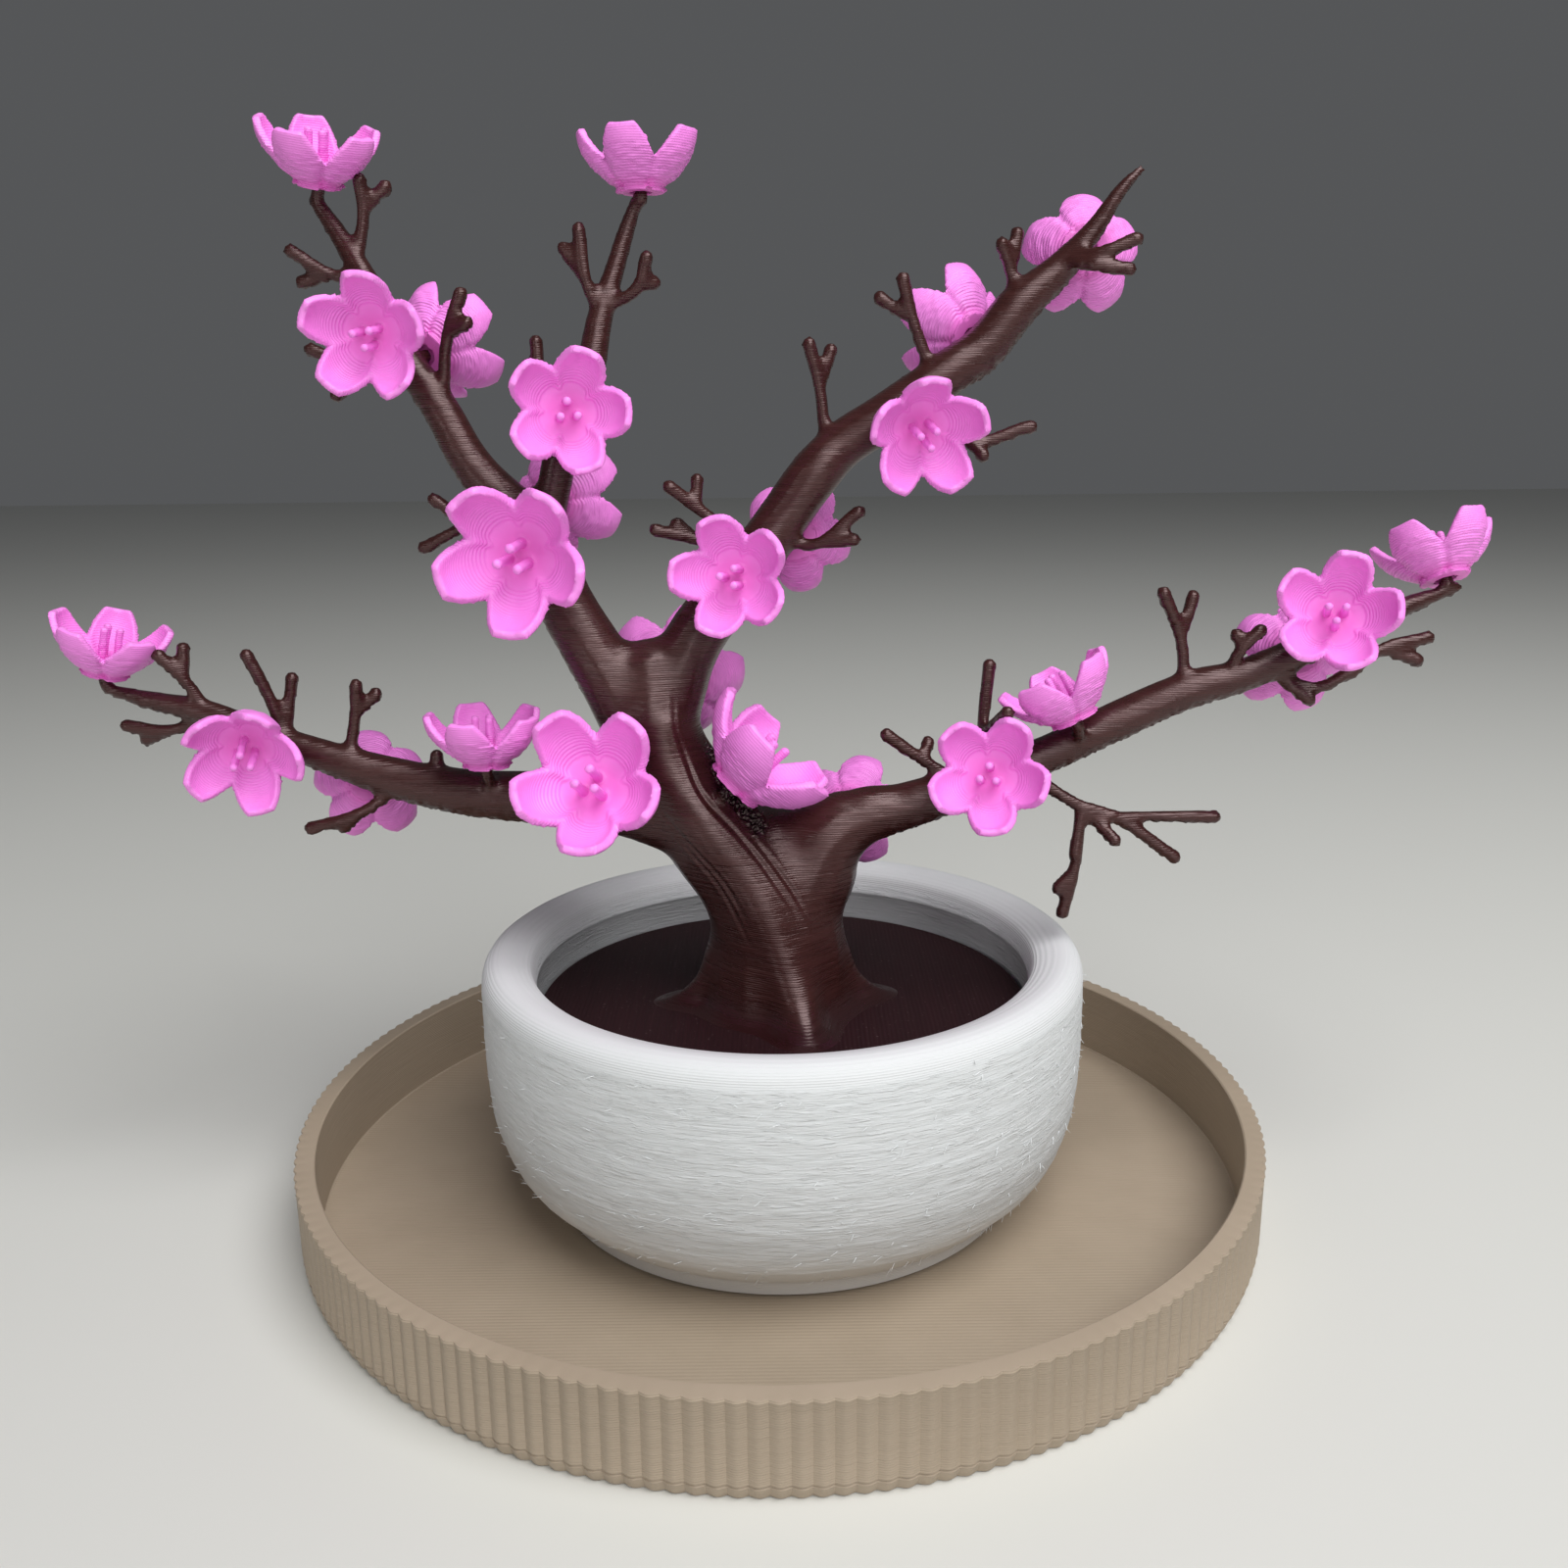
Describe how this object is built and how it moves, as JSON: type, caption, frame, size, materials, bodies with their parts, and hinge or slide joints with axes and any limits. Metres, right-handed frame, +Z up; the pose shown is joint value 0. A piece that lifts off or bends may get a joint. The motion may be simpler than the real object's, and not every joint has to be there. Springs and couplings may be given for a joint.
{
  "type": "cherry blossom bonsai in a pot on a tray",
  "caption": "Decorative cherry blossom bonsai: dark branching tree with pink push-on blossoms in a low white bowl pot, standing in a round ribbed beige drip tray.",
  "frame": {"origin": "middle of the tray's underside, on the surface that it stands on", "axes": "+Z up, -Y the front, +X to the right along the longest spread of the branches"},
  "size_m": [0.1353, 0.0934, 0.1018],
  "materials": {
    "beige_plastic": "matte printed plastic with fine upright ribs",
    "white_plastic": "matte white printed plastic with a rough skin",
    "soil_plastic": "dark brown printed plastic with fine parallel lines",
    "bark_plastic": "satin dark brown printed plastic",
    "pink_plastic": "satin pink printed plastic"
  },
  "bodies": {
    "root": {"tray": "beige_plastic", "pot": "white_plastic", "soil_disc": "soil_plastic", "tree": "bark_plastic", "blossom_01": "pink_plastic", "blossom_02": "pink_plastic", "blossom_03": "pink_plastic", "blossom_04": "pink_plastic", "blossom_05": "pink_plastic", "blossom_06": "pink_plastic", "blossom_07": "pink_plastic", "blossom_08": "pink_plastic", "blossom_09": "pink_plastic", "blossom_10": "pink_plastic", "blossom_11": "pink_plastic", "blossom_12": "pink_plastic", "blossom_13": "pink_plastic", "blossom_14": "pink_plastic", "blossom_15": "pink_plastic", "blossom_16": "pink_plastic", "blossom_17": "pink_plastic", "blossom_18": "pink_plastic", "blossom_19": "pink_plastic", "blossom_20": "pink_plastic", "blossom_21": "pink_plastic", "blossom_22": "pink_plastic", "blossom_23": "pink_plastic", "blossom_24": "pink_plastic", "blossom_25": "pink_plastic"}
  },
  "joints": []
}
